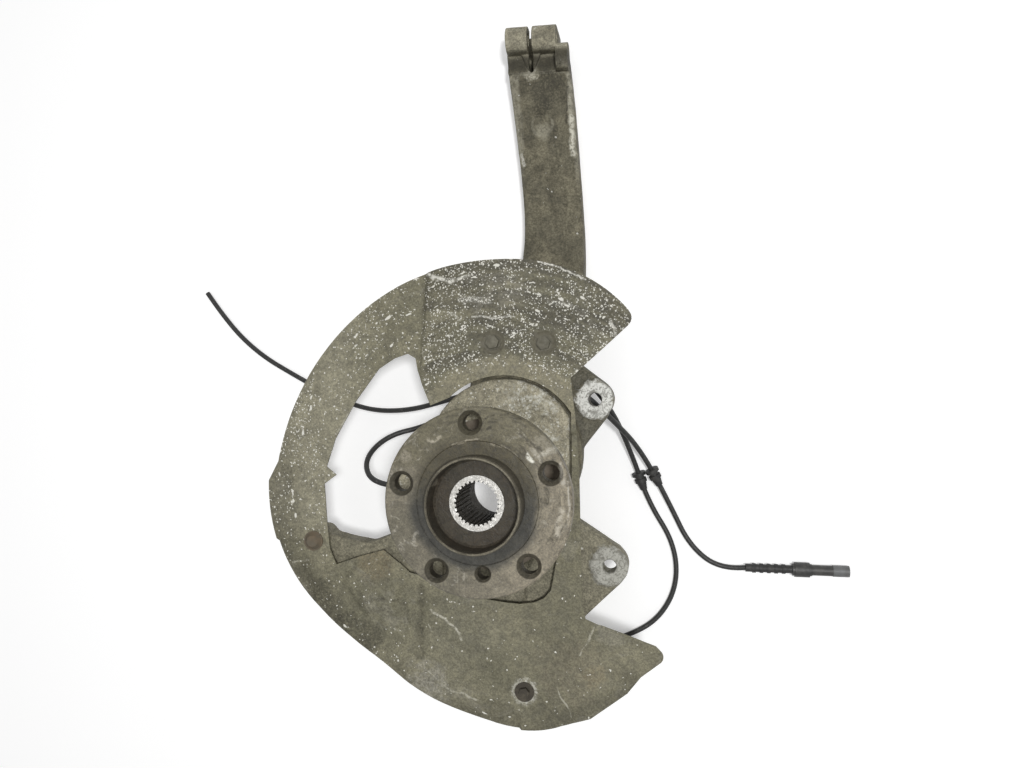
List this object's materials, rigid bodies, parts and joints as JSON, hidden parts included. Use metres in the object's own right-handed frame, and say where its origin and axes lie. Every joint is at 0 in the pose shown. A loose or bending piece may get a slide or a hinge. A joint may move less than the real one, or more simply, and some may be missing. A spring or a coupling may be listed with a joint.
{
  "type": "wheel hub with steering knuckle",
  "caption": "Driven wheel hub in a cast steering knuckle with a long split-clamp arm, sheet dust shield, speed sensor and two loose leads.",
  "frame": {"origin": "centre of the hub's wheel mounting face, on the hub axis", "axes": "+Z along the hub axis, outboard and up as the part lies on its back; +Y towards the long upper arm; +X towards the caliper ears"},
  "size_m": [0.6329, 0.6174, 0.2062],
  "materials": {
    "cast_aluminium": "weathered casting",
    "rusty_steel": "machined and rusty",
    "dull_steel": "dull",
    "bearing_steel": "ground",
    "ball_steel": "polished",
    "cage_polyamide": "moulded",
    "black_rubber": "matt",
    "bolt_steel": "dull",
    "shield_sheet": "dusty and chipped",
    "screw_steel": "dull",
    "black_plastic": "moulded",
    "lead_jacket": "satin",
    "grey_plastic": "moulded"
  },
  "bodies": {
    "carrier": {"knuckle_carrier": "cast_aluminium", "knuckle_arm": "cast_aluminium", "knuckle_clamp": "cast_aluminium", "knuckle_caliper_ears": "cast_aluminium", "knuckle_steering_arm": "cast_aluminium", "knuckle_tie_eye": "cast_aluminium", "knuckle_lower_body": "cast_aluminium", "knuckle_lower_bosses": "cast_aluminium", "bearing_outer_ring": "dull_steel", "bearing_bolts": "bolt_steel", "outboard_seal": "black_rubber", "dust_shield": "shield_sheet", "shield_screws": "screw_steel", "shield_rivet_left": "screw_steel", "shield_screw_lower": "screw_steel", "speed_sensor": "black_plastic", "sensor_bolt": "bolt_steel", "cable_clip": "black_plastic", "clip_bolt": "bolt_steel", "wear_lead_outer": "lead_jacket", "wear_lead_inner": "lead_jacket", "sensor_lead": "lead_jacket", "wear_grommet": "black_rubber", "sensor_grommet": "black_rubber", "connector_boot": "black_rubber", "connector_body": "black_plastic", "connector_end": "grey_plastic", "sensor_plug": "black_plastic"},
    "hub": {"hub": "rusty_steel", "bearing_inner_ring": "bearing_steel", "encoder_ring": "black_rubber"},
    "rolling_set": {"outboard_balls": "ball_steel", "inboard_balls": "ball_steel", "outboard_cage": "cage_polyamide", "inboard_cage": "cage_polyamide"}
  },
  "joints": [
    {"name": "hub_spin", "type": "hinge", "parent": "carrier", "child": "hub", "pos_m": [0, 0, 0], "axis": [0, 0, 1], "continuous": true},
    {"name": "rolling_set_spin", "type": "hinge", "parent": "carrier", "child": "rolling_set", "pos_m": [0, 0, 0], "axis": [0, 0, 1], "continuous": true}
  ],
  "couplings": [
    {"joint": "rolling_set_spin", "follows": "hub_spin", "ratio": 0.414}
  ]
}
